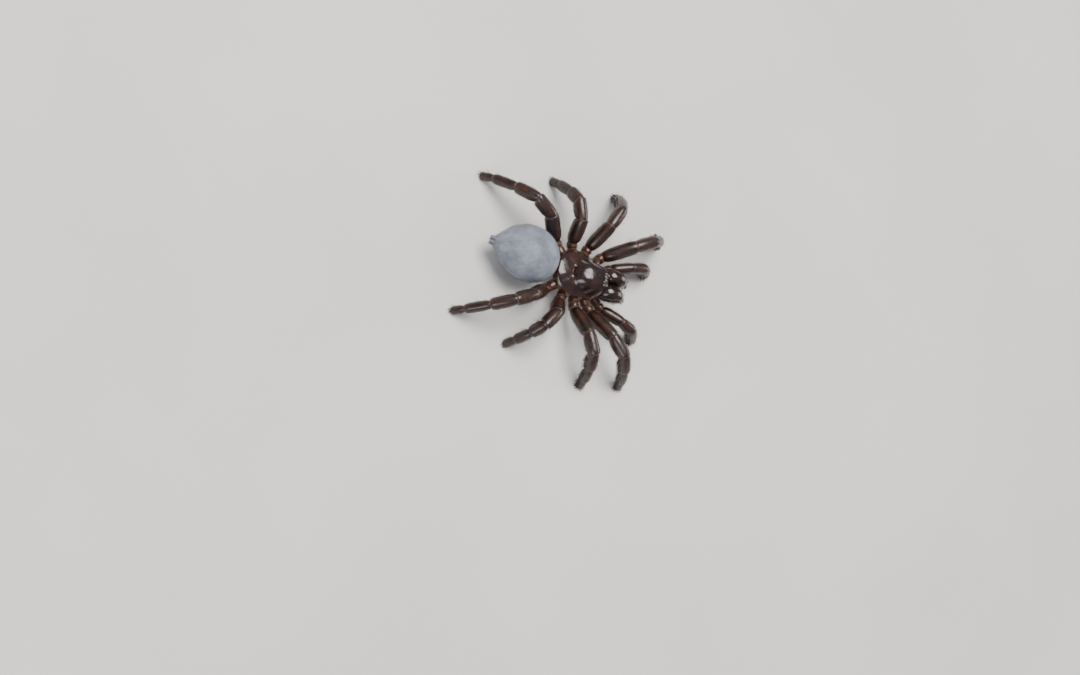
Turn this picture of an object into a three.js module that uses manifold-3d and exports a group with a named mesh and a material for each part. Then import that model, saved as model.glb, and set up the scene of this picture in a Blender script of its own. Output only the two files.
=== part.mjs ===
// A female trapdoor spider, life size, standing with its weight on ten feet.
// Millimetres. +X is the way the head points, +Y the spider's left, +Z up, and the floor is Z = 0.
import * as THREE from "three";
import { mergeVertices } from "three/addons/utils/BufferGeometryUtils.js";
import Module from "manifold-3d";

const wasm = await Module();
wasm.setup();

// Driving sizes. The space kept between two neighbouring pieces:
const GAP = 0.15;

// Cephalothorax: the carapace above, the sternum below, and the trunk between them.
const MARGIN_Z = 5.0; // height of the carapace's rim
const RIM_THICK = 0.3;
const CARAPACE_BACK = -5.0;
const CARAPACE_FRONT = 5.3;
const WIDEST_X = -0.8;
const CARAPACE_HALF = 4.6;
const BACK_HALF = 1.9;
const CLYPEUS_HALF = 3.1;
const THORAX_RISE = 1.75;
const CAPUT = { x: 2.5, length: 4.6, half: 3.25, rise: 3.9 };
const TRUNK = { x: 0.1, length: 3.5, half: 2.1, bottom: 3.5 };
const STERNUM = { x: -0.1, length: 3.5, half: 2.6, top: 3.35, bottom: 2.7 };
const LABIUM = { x: 4.15, length: 0.72, half: 0.62, z: 3.2, thick: 0.42 };
const FOVEA = { x: -1.25, half: 1.15, bend: 0.55, wide: 0.27, deep: 0.1 };

// Eyes: place on the head, and radius.
const EYES = {
  front_middle: { x: 4.5, y: 0.33, r: 0.23 },
  front_side: { x: 4.78, y: 0.98, r: 0.27 },
  back_middle: { x: 3.98, y: 0.56, r: 0.2 },
  back_side: { x: 4.08, y: 1.16, r: 0.23 },
};
const EYE_OUT = 0.3; // share of its radius that an eye's centre stands out of the head
const EYE_GAP = 0.08;

// Abdomen: an egg whose narrower end carries the spinnerets.
const ABDOMEN = { x: -11.45, z: 5.8, front: 6.2, back: 7.4, half: 5.5, tall: 4.6, droop: 0.95, taper: 1.32 };
const PEDICEL = { z: 4.35, radius: 0.62, from: -3.0, to: -7.0 };
const SPINNERETS = {
  upper: { y: 0.52, z: 4.8, lengths: [0.62, 0.42, 0.28], radius: 0.42, splay: -2, lift: 3 },
  lower: { y: 0.36, z: 4.0, lengths: [0.5, 0.22, 0.13], radius: 0.26, splay: 2, lift: -4 },
};
const SPINNERET_ROOT = 1.6; // how far the raw spinneret starts inside the abdomen

// Jaws.
const JAW = { y: 1.62, half: 1.5, sides: 14, square: 0.8 };
const JAW_LINE = [
  [5.3, 6.2, 1.45],
  [5.9, 6.45, 1.85],
  [6.8, 6.7, 2.1],
  [7.9, 6.6, 2.05],
  [8.9, 6.05, 1.65],
  [9.5, 5.4, 1.05],
];
const FANG = { base: 0.5, line: [[9.5, 4.7], [9.3, 3.85], [8.5, 3.2], [7.5, 3.05], [6.7, 3.3]], y: 1.2 };
const RAKE = { teeth: 5, length: 0.62, radius: 0.22, x: 10.0, z: 6.35 };

// Limbs. Names of the segments, from the body outwards, and what each leg is made of.
const LEG_WIDTHS = [1.02, 1.02, 1.38, 1.32, 1.2, 0.98, 0.78];
const PALP_WIDTHS = [0.92, 0.9, 1.12, 1.12, 1.12, 0.92];
const WAIST = 0.8; // how much narrower a limb is at its joints
const TALLER = 1.12; // a limb's section is a little taller than wide
const FOOT_Z = 0.08; // height of the last joint point: the floor trims each foot to a small flat
const SHAPE = [[0.2, 0.93], [0.5, 1.0], [0.8, 0.95]]; // place along a segment, and share of its width
const LIMB_SIDES = 10;

// Each limb: where it leaves the trunk, the way its coxa points, the way the rest points,
// the segments' lengths, and how far each rises above the level. The femur's rise is worked out.
const SOLVED = null;
const LIMBS = {
  palp: {
    root: [4.1, 1.6, 4.0], coxa: 38, out: 20, curl: -4, widths: PALP_WIDTHS, spiny: true,
    lengths: [3.2, 1.2, 4.6, 2.8, 3.0, 2.9], rises: [-6, 8, SOLVED, -8, -50, -58],
  },
  leg_1: {
    root: [2.5, 2.1, 4.2], coxa: 56, out: 40, curl: -3, widths: LEG_WIDTHS, spiny: true,
    lengths: [3.2, 1.3, 7.0, 4.2, 4.2, 3.8, 2.5], rises: [-8, 12, SOLVED, 4, -42, -56, -62],
  },
  leg_2: {
    root: [0.8, 2.3, 4.2], coxa: 80, out: 68, curl: -3, widths: LEG_WIDTHS, spiny: true,
    lengths: [2.9, 1.2, 6.3, 3.9, 3.8, 3.6, 2.4], rises: [-8, 12, SOLVED, 2, -44, -57, -64],
  },
  leg_3: {
    root: [-1.0, 2.3, 4.2], coxa: 105, out: 114, curl: 4, widths: LEG_WIDTHS, spiny: false,
    lengths: [2.8, 1.2, 5.4, 3.6, 3.1, 3.7, 2.6], rises: [-8, 12, SOLVED, 0, -46, -58, -64],
  },
  leg_4: {
    root: [-2.6, 1.8, 4.2], coxa: 134, out: 146, curl: 4, widths: LEG_WIDTHS, spiny: false,
    lengths: [3.3, 1.4, 7.0, 4.3, 4.8, 5.0, 2.8], rises: [-8, 12, SOLVED, 4, -38, -46, -56],
  },
};
// No living spider stands quite evenly: degrees that each limb is turned on each side.
const STEP = {
  left: { palp: 2, leg_1: -4, leg_2: 3, leg_3: -5, leg_4: 3 },
  right: { palp: -3, leg_1: 5, leg_2: -4, leg_3: 4, leg_4: -3 },
};
const CLAW = { length: 0.95, radius: 0.2, spread: 20 };
const SPINE = { length: 0.95, radius: 0.24, sides: 5, lean: 0.55 };

// Colours.
const finish = (color, roughness) => new THREE.MeshStandardMaterial({ color, roughness, metalness: 0 });
const SHELL = finish(0x2b1a13, 0.22);
const LIMB_SHELL = finish(0x33201a, 0.3);
const UNDERSIDE = finish(0x5a3623, 0.4);
const SKIN = finish(0xa8a6a8, 0.75);
const HORN = finish(0x140c0a, 0.15);
const EYE_GLASS = finish(0x0c0b0d, 0.05);

const UP = new THREE.Vector3(0, 0, 1);
const point = (x, y, z) => new THREE.Vector3(x, y, z);
const radians = THREE.MathUtils.degToRad;
const heading = (turn, rise) =>
  point(
    Math.cos(radians(rise)) * Math.cos(radians(turn)),
    Math.cos(radians(rise)) * Math.sin(radians(turn)),
    Math.sin(radians(rise)),
  );

// A closed geometry as a solid. The faces are turned round where they point inwards.
function solid(geometry) {
  const bare = new THREE.BufferGeometry().setAttribute("position", geometry.getAttribute("position"));
  if (geometry.index) bare.setIndex(geometry.index);
  const merged = mergeVertices(bare, 1e-4);
  const vertProperties = merged.attributes.position.array;
  const triVerts = new Uint32Array(merged.index.array);
  const corner = (k) => new THREE.Vector3().fromArray(vertProperties, 3 * triVerts[k]);
  let volume = 0;
  for (let k = 0; k < triVerts.length; k += 3)
    volume += corner(k).dot(corner(k + 1).cross(corner(k + 2)));
  if (volume < 0)
    for (let k = 0; k < triVerts.length; k += 3)
      [triVerts[k + 1], triVerts[k + 2]] = [triVerts[k + 2], triVerts[k + 1]];
  return new wasm.Manifold(new wasm.Mesh({ numProp: 3, vertProperties, triVerts }));
}

// The largest closed body of a solid, as a named mesh.
function piece(name, made, material) {
  const largest = made.decompose().sort((a, b) => b.volume() - a.volume())[0];
  const { vertProperties, triVerts } = largest.getMesh();
  const geometry = new THREE.BufferGeometry()
    .setAttribute("position", new THREE.BufferAttribute(vertProperties, 3))
    .setIndex(new THREE.BufferAttribute(triVerts, 1));
  geometry.computeVertexNormals();
  const mesh = new THREE.Mesh(geometry, material);
  mesh.name = name;
  return mesh;
}

// Rings of points, one after another, as one closed body with a fan on each end.
function loft(rings) {
  const sides = rings[0].length;
  const points = rings.flat();
  const index = [];
  for (let i = 0; i + 1 < rings.length; i++)
    for (let j = 0; j < sides; j++) {
      const next = (j + 1) % sides;
      const [a, b, c, d] = [i * sides + j, i * sides + next, (i + 1) * sides + next, (i + 1) * sides + j];
      index.push(a, b, c, a, c, d);
    }
  for (const i of [0, rings.length - 1]) {
    const middle = rings[i].reduce((sum, p) => sum.add(p), point(0, 0, 0)).divideScalar(sides);
    const hub = points.push(middle) - 1;
    for (let j = 0; j < sides; j++) {
      const [a, b] = [i * sides + j, i * sides + ((j + 1) % sides)];
      index.push(...(i === 0 ? [hub, b, a] : [hub, a, b]));
    }
  }
  return solid(new THREE.BufferGeometry().setFromPoints(points).setIndex(index));
}

// One oval ring about a point. `along` is the way the body runs there, and a `square` under 1
// fills out the oval's corners.
function oval({ at, along, width, height, square = 1 }, sides) {
  const full = (value) => Math.sign(value) * Math.abs(value) ** square;
  const across = new THREE.Vector3().crossVectors(UP, along).normalize();
  const lift = new THREE.Vector3().crossVectors(along, across).normalize();
  return Array.from({ length: sides }, (_, j) => {
    const a = (2 * Math.PI * (j + 0.5)) / sides;
    return at.clone()
      .addScaledVector(across, width * full(Math.cos(a)))
      .addScaledVector(lift, height * full(Math.sin(a)));
  });
}
const sweep = (stations, sides) => loft(stations.map((s) => oval(s, sides)));

// Even steps from a to b, both counted.
const steps = (a, b, n) => Array.from({ length: n }, (_, i) => a + ((b - a) * i) / (n - 1));

// Half the carapace's width at x, rounded off at both ends.
function carapaceHalf(x) {
  if (x < WIDEST_X) {
    const u = (WIDEST_X - x) / (WIDEST_X - CARAPACE_BACK);
    return BACK_HALF + (CARAPACE_HALF - BACK_HALF) * Math.pow(Math.max(0, 1 - u ** 2.4), 0.75);
  }
  const u = (x - WIDEST_X) / (CARAPACE_FRONT - WIDEST_X);
  const corner = 0.35 * Math.pow(u, 14);
  return CARAPACE_HALF + (CLYPEUS_HALF - CARAPACE_HALF) * u ** 1.8 - corner;
}

// Height of the carapace above its rim: a low thorax, and the arched head in front of it.
function carapaceRise(x, y) {
  const across = Math.min(1, Math.abs(y) / carapaceHalf(x));
  const fall = Math.min(1, Math.abs(x - WIDEST_X) / 5.6);
  const thorax = THORAX_RISE * Math.sqrt(1 - across ** 2.6) * Math.sqrt(1 - fall ** 3);
  const u = (x - CAPUT.x) / CAPUT.length;
  const v = y / CAPUT.half;
  const head = CAPUT.rise * Math.sqrt(Math.max(0, 1 - Math.abs(u) ** 2.3 - Math.abs(v) ** 3));
  return Math.max(thorax, head);
}

// The carapace over the trunk, enlarged by `grow` all round.
function prosoma(grow) {
  const across = 15;
  const stations = steps(CARAPACE_BACK + 0.02, CARAPACE_FRONT - 0.02, 22);
  const rings = stations.map((x, i) => {
    const end = i === 0 ? -grow : i === stations.length - 1 ? grow : 0;
    const half = carapaceHalf(x) + grow;
    const top = steps(-1, 1, across).map((v) => {
      const y = Math.sin((v * Math.PI) / 2);
      return point(x + end, y * half, MARGIN_Z + grow + carapaceRise(x, y * carapaceHalf(x)));
    });
    const under = steps(1, -1, 7).map((v) => point(x + end, v * half, MARGIN_Z - RIM_THICK - grow));
    return [...top, ...under];
  });
  const trunk = new THREE.CylinderGeometry(1, 1, MARGIN_Z - TRUNK.bottom, 20)
    .rotateX(Math.PI / 2)
    .scale(TRUNK.length + grow, TRUNK.half + grow, 1)
    .translate(TRUNK.x, 0, (MARGIN_Z + TRUNK.bottom) / 2);
  return loft(rings).add(solid(trunk));
}

// The deep pit behind the head, bowed round it.
function fovea() {
  const line = steps(-1, 1, 7).map((v) => {
    const x = FOVEA.x - FOVEA.bend * (1 - v * v);
    const y = FOVEA.half * v;
    return point(x, y, MARGIN_Z + carapaceRise(x, y) + FOVEA.deep);
  });
  const curve = new THREE.CatmullRomCurve3(line);
  const rings = steps(0, 1, 9).map((t) => ({
    at: curve.getPointAt(t),
    along: curve.getTangentAt(t),
    width: FOVEA.wide,
    height: FOVEA.wide * 1.6 * (0.35 + Math.sin(Math.PI * t) * 0.65),
  }));
  return sweep(rings, 8);
}

// Eyes stand in sockets of the carapace.
function eyeBall({ x, y, r }, side, grow) {
  const z = MARGIN_Z + carapaceRise(x, y) + EYE_OUT * r;
  return solid(new THREE.SphereGeometry(r + grow, 8, 6).rotateX(Math.PI / 2).translate(x, side * y, z));
}

function sternum(grow) {
  const { x, length, half, top, bottom } = STERNUM;
  const rings = [[0.62, bottom], [0.86, bottom + 0.12], [1, bottom + 0.36], [1, top]].map(([share, z]) => {
    const level = z === bottom ? z - grow : z === top ? z + grow : z;
    return Array.from({ length: 20 }, (_, j) => {
      const a = (2 * Math.PI * j) / 20;
      const narrow = 1 - 0.18 * Math.cos(a);
      return point(
        x + (length * share + grow) * Math.cos(a),
        (half * share * narrow + grow) * Math.sin(a),
        level,
      );
    });
  });
  return loft(rings);
}

function labium() {
  const { x, length, half, z, thick } = LABIUM;
  return solid(new THREE.SphereGeometry(1, 12, 8).rotateX(Math.PI / 2).scale(length * 1.6, half, thick)
    .translate(x - length * 0.5, 0, z));
}

// The abdomen, enlarged by `grow`. It droops and tapers towards the spinnerets.
function abdomen(grow) {
  const { x, z, front, back, half, tall, droop, taper } = ABDOMEN;
  const rings = steps(0.06, Math.PI - 0.06, 17).map((a) => {
    const u = Math.cos(a);
    const reach = u > 0 ? front : back;
    const dip = u < 0 ? droop * u * u : 0;
    const girth = Math.sin(a) ** (u < 0 ? taper : 1);
    return {
      at: point(x + u * (reach + grow), 0, z - dip),
      along: point(-1, 0, 0),
      width: (half + grow) * girth,
      height: (tall + grow) * girth,
    };
  });
  return sweep(rings, 22);
}

function pedicel() {
  const { z, radius, from, to } = PEDICEL;
  const stations = steps(from, to, 5).map((x) => ({
    at: point(x, 0, z), along: point(-1, 0, 0), width: radius * 1.25, height: radius,
  }));
  return sweep(stations, 12);
}

function spinneret({ y, z, lengths, radius, splay, lift }, side) {
  const way = heading(180 - side * splay, lift);
  const back = ABDOMEN.x - ABDOMEN.back;
  const at = point(back + SPINNERET_ROOT, side * y, z);
  const stations = [{ at: at.clone(), along: way, width: radius, height: radius }];
  at.addScaledVector(way, SPINNERET_ROOT * 0.8);
  lengths.forEach((length, i) => {
    const size = radius * (1 - 0.17 * i);
    for (const [t, share] of [[0.08, 0.84], [0.35, 1], [0.85, 0.95]])
      stations.push({
        at: at.clone().addScaledVector(way, length * t), along: way, width: size * share, height: size * share,
      });
    at.addScaledVector(way, length);
  });
  stations.push({ at, along: way, width: radius * 0.25, height: radius * 0.25 });
  return sweep(stations, 8);
}

// One jaw, with the rake of teeth over its fang.
function jaw(side, grow = 0) {
  const curve = new THREE.CatmullRomCurve3(JAW_LINE.map(([x, z]) => point(x, side * JAW.y, z)));
  const last = JAW_LINE.length - 1;
  const stations = JAW_LINE.map(([, , height], i) => ({
    at: curve.getPoint(i / last),
    along: curve.getTangent(i / last),
    width: grow + JAW.half * Math.sqrt(1 - (i / (last + 0.55)) ** 3.2) * (i === 0 ? 0.88 : 1),
    height: grow + height,
    square: JAW.square,
  }));
  let made = sweep(stations, JAW.sides);
  for (const t of steps(-0.9, 0.7, RAKE.teeth)) {
    const at = point(RAKE.x - 0.35 * Math.abs(t), side * (JAW.y + t * 0.95), RAKE.z + 0.25 * Math.cos(t * 2));
    made = made.add(cone(at, point(0.75, -side * 0.15, -0.4), RAKE.length, RAKE.radius));
  }
  return made;
}

function fang(side) {
  const curve = new THREE.CatmullRomCurve3(FANG.line.map(([x, z]) => point(x, side * FANG.y, z)));
  const stations = steps(0, 1, 8).map((t) => ({
    at: curve.getPointAt(t),
    along: curve.getTangentAt(t),
    width: FANG.base * (1 - 0.86 * t),
    height: FANG.base * (1 - 0.86 * t) * 1.15,
  }));
  return sweep(stations, 8);
}

// A short spike whose root is sunk a third of its length.
function cone(at, way, length, radius, sides = SPINE.sides) {
  const turned = new THREE.Quaternion().setFromUnitVectors(point(0, 1, 0), way.clone().normalize());
  const shape = new THREE.ConeGeometry(radius, length * 1.33, sides).translate(0, length * 0.33, 0)
    .applyQuaternion(turned)
    .translate(at.x, at.y, at.z);
  return solid(shape);
}

// Joint points of one limb, and the way each segment runs.
function skeleton(name, side) {
  const { root, coxa, out, curl, lengths, rises } = LIMBS[name];
  const step = STEP[side > 0 ? "left" : "right"][name];
  const risen = lengths.reduce((sum, l, i) => sum + (rises[i] === SOLVED ? 0 : l * Math.sin(radians(rises[i]))), 0);
  const femur = rises.indexOf(SOLVED);
  const lift = THREE.MathUtils.radToDeg(Math.asin((FOOT_Z - root[2] - risen) / lengths[femur]));
  const joints = [point(root[0], side * root[1], root[2])];
  const ways = lengths.map((length, i) => {
    const turn = i === 0 ? coxa : i === 1 ? (coxa + out) / 2 : out + step + curl * (i - femur);
    const way = heading(side * turn, rises[i] === SOLVED ? lift : rises[i]);
    joints.push(joints[i].clone().addScaledVector(way, length));
    return way;
  });
  return { joints, ways };
}

// The segments from `first` to `last` of a limb, as one swept body.
function limbPart(name, side, first, last) {
  const { widths } = LIMBS[name];
  const { joints, ways } = skeleton(name, side);
  const end = ways.length - 1;
  const stations = [];
  const atJoint = (i, pull) => {
    const before = ways[Math.max(0, i - 1)];
    const after = ways[Math.min(end, i)];
    const along = before.clone().add(after).normalize();
    const width = WAIST * Math.min(widths[Math.max(0, i - 1)], widths[Math.min(end, i)]);
    const height = (width * TALLER) / along.dot(after);
    stations.push({ at: joints[i].clone().add(pull), along, width, height });
  };
  for (let i = first; i <= last; i++) {
    const way = ways[i];
    const length = joints[i].distanceTo(joints[i + 1]);
    atJoint(i, i === first && i > 0 ? way.clone().multiplyScalar(GAP / 2) : point(0, 0, 0));
    const shape = i === end ? [[0.25, 0.96], [0.6, 1], [0.88, 0.92]] : SHAPE;
    for (const [t, share] of shape) {
      const width = widths[i] * share;
      stations.push({ at: joints[i].clone().addScaledVector(way, length * t), along: way, width, height: width * TALLER });
    }
  }
  if (last === end) {
    const tip = widths[end] * 0.62;
    stations.push({ at: joints[end + 1].clone(), along: ways[end], width: tip, height: tip });
  } else {
    atJoint(last + 1, ways[last].clone().multiplyScalar(-GAP / 2));
  }
  return sweep(stations, LIMB_SIDES);
}

// Digging spines along both sides of one segment.
function addSpines(made, name, side, segment) {
  const { joints, ways } = skeleton(name, side);
  const way = ways[segment];
  const across = new THREE.Vector3().crossVectors(UP, way).normalize();
  const width = LIMBS[name].widths[segment];
  for (const t of [0.28, 0.52, 0.76])
    for (const flank of [-1, 1]) {
      const at = joints[segment].clone().lerp(joints[segment + 1], t).addScaledVector(across, flank * width * 0.9);
      const lean = across.clone().multiplyScalar(flank).addScaledVector(way, SPINE.lean);
      made = made.add(cone(at, lean, SPINE.length, SPINE.radius));
    }
  return made;
}

// The pair of claws on a foot, clear of the floor.
function addClaws(made, name, side) {
  const { joints, ways } = skeleton(name, side);
  const foot = ways.length - 1;
  const turn = THREE.MathUtils.radToDeg(Math.atan2(ways[foot].y, ways[foot].x));
  for (const flank of [-1, 1]) {
    const out = heading(turn + flank * CLAW.spread, 0);
    const at = joints[foot + 1].clone().addScaledVector(out, 0.3).setZ(0.62);
    made = made.add(cone(at, point(out.x, out.y, -0.42), CLAW.length, CLAW.radius));
  }
  return made;
}

const FLOOR = solid(new THREE.BoxGeometry(200, 200, 10).translate(0, 0, -5));

// The three nodes of one limb: up to the knee, the shin, and the foot.
function limb(name, side) {
  const spiny = LIMBS[name].spiny;
  const count = LIMBS[name].lengths.length;
  const label = name.replace("_", side > 0 ? "_left_" : "_right_");
  const full = name === "palp" ? "palp_" + (side > 0 ? "left" : "right") : label;
  let thigh = limbPart(name, side, 0, 2).subtract(prosoma(GAP)).subtract(sternum(GAP));
  const before = { leg_1: "palp", leg_2: "leg_1", leg_3: "leg_2", leg_4: "leg_3" }[name];
  if (before) thigh = thigh.subtract(coxaOf(before, side, GAP));
  let shin = limbPart(name, side, 3, 4);
  let foot = limbPart(name, side, 5, count - 1);
  if (spiny) {
    shin = addSpines(shin, name, side, 4);
    foot = addSpines(foot, name, side, 5);
  }
  foot = addClaws(foot, name, side).subtract(FLOOR);
  return [
    piece(full + "_femur", thigh, LIMB_SHELL),
    piece(full + "_tibia", shin, LIMB_SHELL),
    piece(full + "_tarsus", foot, LIMB_SHELL),
  ];
}

// The two segments of a limb next to the trunk, enlarged, to keep its neighbour clear of it.
function coxaOf(name, side, grow) {
  const { joints, ways } = skeleton(name, side);
  const { widths } = LIMBS[name];
  const stations = [[0, 0, WAIST], [0, 0.2, 0.93], [0, 0.5, 1], [0, 0.8, 0.95], [1, 0.05, WAIST], [1, 0.9, 0.95]];
  return sweep(stations.map(([i, t, share]) => ({
    at: joints[i].clone().lerp(joints[i + 1], t),
    along: ways[i],
    width: widths[i] * share + grow,
    height: widths[i] * share * TALLER + grow,
  })), LIMB_SIDES);
}

const spider = new THREE.Group();
let carapace = prosoma(0).subtract(fovea());
for (const side of [1, -1])
  for (const eye of Object.values(EYES)) carapace = carapace.subtract(eyeBall(eye, side, EYE_GAP));
spider.add(piece("carapace", carapace, SHELL));
spider.add(piece("sternum", sternum(0), UNDERSIDE));
spider.add(piece("labium", labium().subtract(sternum(GAP)).subtract(prosoma(GAP)), UNDERSIDE));
spider.add(piece("abdomen", abdomen(0), SKIN));
spider.add(piece("pedicel", pedicel().subtract(prosoma(GAP)).subtract(abdomen(GAP)), UNDERSIDE));
for (const [word, side] of [["left", 1], ["right", -1]]) {
  for (const [row, eye] of Object.entries(EYES))
    spider.add(piece(`eye_${row}_${word}`, eyeBall(eye, side, 0), EYE_GLASS));
  for (const [row, sizes] of Object.entries(SPINNERETS))
    spider.add(piece(`spinneret_${row}_${word}`, spinneret(sizes, side).subtract(abdomen(GAP)), SKIN));
  const jawSolid = jaw(side).subtract(prosoma(GAP));
  spider.add(piece(`chelicera_${word}`, jawSolid.subtract(coxaOf("palp", side, GAP)), SHELL));
  spider.add(piece(`fang_${word}`, fang(side).subtract(jaw(side, GAP)), HORN));
  for (const name of Object.keys(LIMBS)) spider.add(...limb(name, side));
}

// The origin is on the floor, under the middle of the spider's outline.
const box = new THREE.Box3().setFromObject(spider, true);
const middle = box.getCenter(new THREE.Vector3());
spider.position.set(-middle.x, -middle.y, 0);

export default spider;
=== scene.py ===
import math

import bpy
import numpy as np
from mathutils import Matrix, Vector, noise


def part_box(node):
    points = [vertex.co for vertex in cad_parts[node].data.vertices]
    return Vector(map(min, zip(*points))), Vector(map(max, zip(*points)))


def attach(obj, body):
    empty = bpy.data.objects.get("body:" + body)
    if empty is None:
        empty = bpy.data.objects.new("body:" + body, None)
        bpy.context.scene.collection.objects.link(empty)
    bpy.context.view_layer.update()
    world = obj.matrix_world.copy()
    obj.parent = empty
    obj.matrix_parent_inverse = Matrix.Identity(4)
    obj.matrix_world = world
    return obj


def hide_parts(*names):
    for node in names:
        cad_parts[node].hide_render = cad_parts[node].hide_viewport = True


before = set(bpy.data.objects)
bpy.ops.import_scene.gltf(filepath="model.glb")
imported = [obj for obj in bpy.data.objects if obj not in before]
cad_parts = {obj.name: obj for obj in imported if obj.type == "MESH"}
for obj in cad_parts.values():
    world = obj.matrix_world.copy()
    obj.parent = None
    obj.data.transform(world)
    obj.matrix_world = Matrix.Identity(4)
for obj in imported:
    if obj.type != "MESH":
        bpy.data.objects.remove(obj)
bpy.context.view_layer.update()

MM = 0.001
UP = np.array([0.0, 0.0, 1.0])
AHEAD = np.array([1.0, 0.0, 0.0])

# Cephalothorax.
MARGIN_Z = 5.0
RIM_THICK = 0.3
CARAPACE_BACK = -5.0
CARAPACE_FRONT = 5.3
WIDEST_X = -0.8
CARAPACE_HALF = 4.6
BACK_HALF = 1.9
CLYPEUS_HALF = 3.1
FRONT_CORNER = 0.35  # how far the front corners are drawn in
THORAX_RISE = 1.75
THORAX_REACH = 5.6  # from the widest place to where the thorax would come down to the rim
CAPUT = {"x": 2.5, "length": 4.6, "half": 3.25, "rise": 3.9}
RIM_OUT = 0.1
UNDER_ARCH = 0.35
BEAD = {"at": 0.955, "wide": 0.02, "rise": 0.09}  # place and width are shares of the half width
TRUNK = {"x": 0.1, "length": 3.5, "half": 2.1, "bottom": 3.5, "folds": 22, "fold": 0.012, "bulge": 0.03}
STERNUM = {"x": -0.1, "length": 3.5, "half": 2.6, "bottom": 2.7, "narrow": 0.18, "scallop": 0.02}
LABIUM = {"x": 4.15, "length": 0.72, "half": 0.62, "z": 3.2, "thick": 0.42}
UPPER_LIP = {"x": 4.95, "z": 3.95, "length": 1.35, "half": 0.72, "thick": 0.6}  # soft, over the mouth
FOVEA = {"x": -1.25, "half": 1.15, "bend": 0.55, "wide": 0.2, "deep": 0.5}
FURROWS = {"turns": [62, 98, 134], "deep": 0.08, "wide": 0.38, "starts": (0.9, 1.7), "ends": (3.0, 4.0)}
MOUND = {"x": 4.35, "length": 0.85, "half": 1.7, "rise": 0.16}  # the low swelling that holds the eyes
CREASE = 0.55  # how softly the head runs into the thorax
EYES = {  # x, y and radius
    "front_middle": (4.5, 0.33, 0.23), "front_side": (4.78, 0.98, 0.27),
    "back_middle": (3.98, 0.56, 0.2), "back_side": (4.08, 1.16, 0.23),
}
EYE_OUT = 0.3  # share of its radius that an eye's middle stands out of the head
EYE_LIFT = 0.06
EYE_RIM = [(-0.6, 1.3), (-0.1, 1.28), (0.08, 1.14), (0.1, 1.02), (0.0, 0.94), (-0.6, 0.9)]  # rise and width

# The sternum from its middle to its rim, as share and height, and its bare spots: place and radius.
STERNUM_PROFILE = [
    (0.03, -0.1), (0.3, -0.09), (0.5, -0.06), (0.68, 0.0), (0.8, 0.07),
    (0.9, 0.16), (0.97, 0.28), (1, 0.42), (1, 0.65),
]
STERNUM_SPOTS = [(2.1, 1.35, 0.22), (0.7, 1.75, 0.26), (-1.1, 1.5, 0.42)]
SPOT_RISE = 0.09

# Abdomen and its coat.
ABDOMEN = {
    "x": -11.45, "z": 5.8, "front": 6.2, "back": 7.4, "half": 5.5, "tall": 4.6, "droop": 0.95,
    "taper": 1.32,
}
COAT_DEPTH = 0.12
BOOK_LUNGS = {"x": (1.4, 3.6), "y": 1.9, "size": 0.85, "wide": 1.4}  # two pairs of oval plates below
PLATE = {"rise": 0.09, "groove": 0.07, "bare": 0.93}  # how high, how deep round it, and how hairless
SLIT = {"deep": 0.12, "wide": 0.12, "ends": (2.0, 2.6)}  # between the two pairs of plates
PITS = [(1.8, 1.15, 0.3), (-0.4, 1.45, 0.34), (-2.6, 1.25, 0.28)]  # of the back's muscles: place and radius
PIT_DEEP = 0.06
TAIL_FOLDS = {"deep": 0.025, "close": 11, "along": (5.0, 8.3)}
MOUNT = {"x": -17.8, "reach": 1.25, "half": 1.6, "tall": 1.2, "soft": 1.0}  # the mound of the spinnerets
PEDICEL = {"z": 4.35, "radius": 0.62, "wide": 1.25, "ripple": 0.03, "from": -3.0, "to": -7.0}
SPINNERETS = {
    "upper": {"y": 0.52, "z": 4.8, "lengths": [0.62, 0.42, 0.28], "radius": 0.42, "splay": -2, "lift": 3},
    "lower": {"y": 0.36, "z": 4.0, "lengths": [0.5, 0.22, 0.13], "radius": 0.26, "splay": 2, "lift": -4},
}
SPINNERET_ROOT = 1.6
SPINNERET_NARROWS = 0.17  # from one segment to the next
SEGMENT = [(0.0, 0.8), (0.06, 0.82), (0.14, 0.93), (0.35, 1.0), (0.65, 0.99), (0.88, 0.94), (0.96, 0.87)]

# Jaws and fangs.
JAW = {"y": 1.62, "half": 1.5, "square": 0.8}
JAW_LINE = [  # x, z and half height
    (5.3, 6.2, 1.45), (5.9, 6.45, 1.85), (6.8, 6.7, 2.1), (7.9, 6.6, 2.05),
    (8.9, 6.05, 1.65), (9.5, 5.4, 1.05),
]
JAW_END = [(0.93, 0.07), (0.78, 0.14), (0.5, 0.2), (0.2, 0.22)]  # share of the last ring, and how far out
JAW_BANDS = ((-0.75, 0.22), (0.55, 0.2))  # of bristles: how far across the jaw, and how wide
FANG = {
    "base": 0.5, "y": 1.2,
    "line": [(9.3, 5.4), (9.5, 4.7), (9.3, 3.85), (8.5, 3.2), (7.5, 3.05), (6.7, 3.3)],
}
RAKE = {
    "length": 0.66, "radius": 0.2, "turns": (-62, 40),
    "rows": [(0.92, 6, 1.0), (0.86, 5, 0.8), (0.8, 4, 0.62)],  # share along the jaw, teeth and their size
}
SMALL_TEETH = {"count": 8, "x": 6.3, "step": 0.34, "y": 0.62, "z": 4.75, "length": 0.34, "radius": 0.1}

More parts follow.
